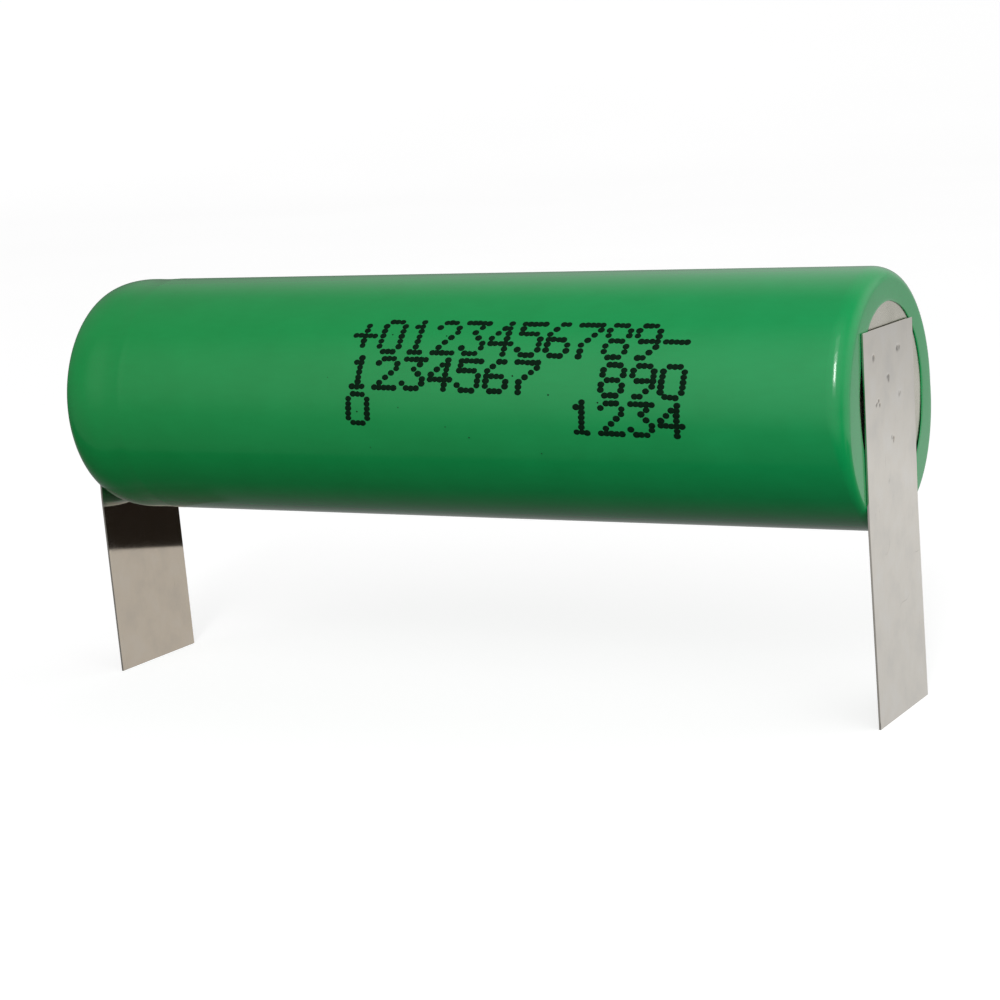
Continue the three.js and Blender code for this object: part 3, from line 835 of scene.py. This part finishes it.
def build_cards():
    """What the metal and the underside reflect: pale and grey cards, a small black one and a table top."""
    left, split_x, right = 0.0, 0.178, 0.216
    low, grey_top, high = -0.30, -0.02, 0.12
    pale = [(grey,) * 3 for grey in PALE_CARD_UPWARDS]
    upright_card("pale_card", CARD_Y, (left, split_x), (low, high), (-0.10, 0.06), *pale)
    upright_card("grey_card", CARD_Y, (split_x, right), (low, grey_top), (low, grey_top),
                 (0.70, 0.64, 0.58), (0.63, 0.585, 0.53))
    upright_card("black_card", NEAR_CARD_Y, (-0.017, -0.002), (0.0042, 0.012), (0.0042, 0.012),
                 (0.0165, 0.0125, 0.009), (0.0165, 0.0115, 0.0085))
    near, far, wide, below = -0.3, 1.6, 1.6, -0.35
    table = [(-wide, near, below), (wide, near, below), (wide, far, below), (-wide, far, below)]
    # The table top is darkest below the cell: a painted shadow of the cell, seen only in reflections.
    reflected_card("table_card", table, "Y", (0.0, 0.8), *[(grey,) * 3 for grey in TABLE_AWAY])


# Soft glows all round: azimuth and elevation of the middle and half-width in degrees, and brightness there
GLOWS = (
    (0, 90, 180, 0.30),
    (9, 27, 60, 0.74),
    (108, 5, 60, 0.95),
    (175, 35, 50, 0.50),
    (-45, -20, 45, 0.15),
)


def build_world():
    """A dark surround with broad soft glows in it, each fading smoothly to nothing at its edge."""
    world = bpy.data.worlds.new("surround")
    bpy.context.scene.world = world
    world.use_nodes = True
    nodes, links = world.node_tree.nodes, world.node_tree.links
    towards = nodes.new("ShaderNodeTexCoord").outputs["Generated"]
    total = None
    for azimuth, elevation, half_width, brightness in GLOWS:
        nearness = nodes.new("ShaderNodeVectorMath")
        nearness.operation = "DOT_PRODUCT"
        nearness.inputs[1].default_value = direction(azimuth, elevation)
        links.new(towards, nearness.inputs[0])
        fade = nodes.new("ShaderNodeMapRange")
        fade.interpolation_type = "SMOOTHSTEP"
        fade.inputs["From Min"].default_value = math.cos(math.radians(half_width))
        fade.inputs["To Max"].default_value = brightness
        links.new(nearness.outputs["Value"], fade.inputs["Value"])
        add = nodes.new("ShaderNodeMath")
        add.inputs[1].default_value = 0.0
        links.new(fade.outputs[0], add.inputs[0])
        if total:
            links.new(total, add.inputs[1])
        total = add.outputs[0]
    links.new(total, nodes["Background"].inputs["Color"])


# One tall soft light that is bright in its middle, and a small one near the negative end.
# Name, azimuth and elevation in degrees, distance, width and height in metres, and brightness
KEY_LAYERS = (
    ("key_core", 20, 29, 0.6, 0.06, 0.16, 18.0),
    ("key_middle", 20, 31, 0.6, 0.10, 0.30, 4.0),
    ("key_edge", 20, 35, 0.6, 0.15, 0.56, 0.9),
)
NEAR_SIDE = ("near_side", 62, 28, 0.15, 0.08, 0.08, 0.9)


def build_lights():
    for layer in KEY_LAYERS:
        softbox(*layer)
    softbox(*NEAR_SIDE).visible_glossy = False


def build_camera():
    forward = Vector((math.sin(CAMERA_YAW) * math.cos(CAMERA_PITCH),
                      math.cos(CAMERA_YAW) * math.cos(CAMERA_PITCH), math.sin(CAMERA_PITCH)))
    level = Vector((math.cos(CAMERA_YAW), -math.sin(CAMERA_YAW), 0))
    upright = level.cross(forward)
    right = level * math.cos(CAMERA_ROLL) + upright * math.sin(CAMERA_ROLL)
    up = upright * math.cos(CAMERA_ROLL) - level * math.sin(CAMERA_ROLL)
    data = bpy.data.cameras.new("camera")
    data.lens = CAMERA_LENS
    data.clip_start, data.clip_end = 0.01, 10
    camera = bpy.data.objects.new("camera", data)
    turned = Matrix((right, up, -forward)).transposed()
    camera.matrix_world = Matrix.Translation(CAMERA_PLACE) @ turned.to_4x4()
    bpy.context.scene.collection.objects.link(camera)
    bpy.context.scene.camera = camera


bpy.context.scene.view_settings.view_transform = "Standard"
finish_cad_nodes()
build_sleeve()
build_print()
build_tab("negative_tab_strip", "negative_tab_pad", "negative_tab_leg", end=1, seed=5)
build_tab("positive_tab_strip", "positive_tab_pad", "positive_tab_leg", end=-1, seed=6)
build_washer()
build_floor()
build_cards()
build_world()
build_lights()
build_camera()
